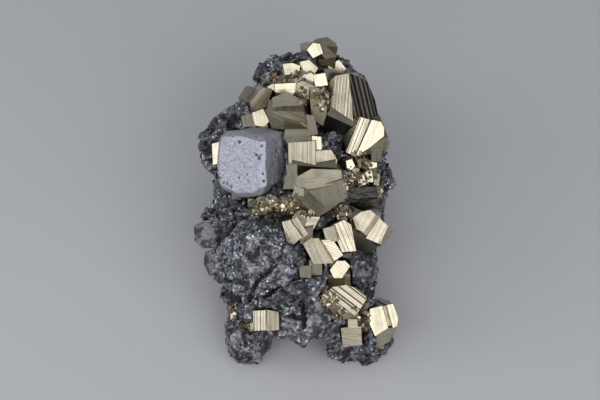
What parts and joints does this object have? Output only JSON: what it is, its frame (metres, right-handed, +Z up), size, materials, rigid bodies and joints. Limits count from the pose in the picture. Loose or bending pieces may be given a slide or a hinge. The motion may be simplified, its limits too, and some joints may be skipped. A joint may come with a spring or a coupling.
{
  "type": "galena specimen",
  "caption": "Rough chunk of dark matrix with a blocky grey galena crystal, a band of brassy pyrite crystals and a flat broken base that it rests on.",
  "frame": {"origin": "middle of the overall box, at the flat base", "axes": "+Z up from the base; +Y along the long side, away from the two front feet; +X to the right as seen from the feet"},
  "size_m": [0.0424, 0.0658, 0.038],
  "materials": {
    "matrix": "dark, rough crust of sphalerite and galena with small bright glints",
    "galena": "lead-grey metallic, dull and pitted",
    "etched_galena": "silvery grey, corroded and rough",
    "pyrite": "bright pale brassy metallic, striated",
    "quartz": "cloudy clear crystal",
    "sphalerite": "dark brown, glossy and slightly see-through"
  },
  "bodies": {
    "root": {"matrix": "matrix", "galena_crystal": "galena", "etched_galena_crystal": "etched_galena", "sphalerite_crystal": "sphalerite", "quartz_crystal_upper": "quartz", "quartz_crystal_lower": "quartz", "pyrite_band": "pyrite", "pyrite_below_galena": "pyrite", "pyrite_upper_band": "pyrite", "pyrite_right_upper": "pyrite", "pyrite_druse": "pyrite", "pyrite_lower_left": "pyrite", "pyrite_druse_2": "pyrite", "pyrite_lower_left_2": "pyrite", "pyrite_left_edge": "pyrite", "pyrite_beside_galena": "pyrite", "pyrite_below_galena_2": "pyrite", "pyrite_druse_3": "pyrite", "pyrite_druse_4": "pyrite"}
  },
  "joints": []
}
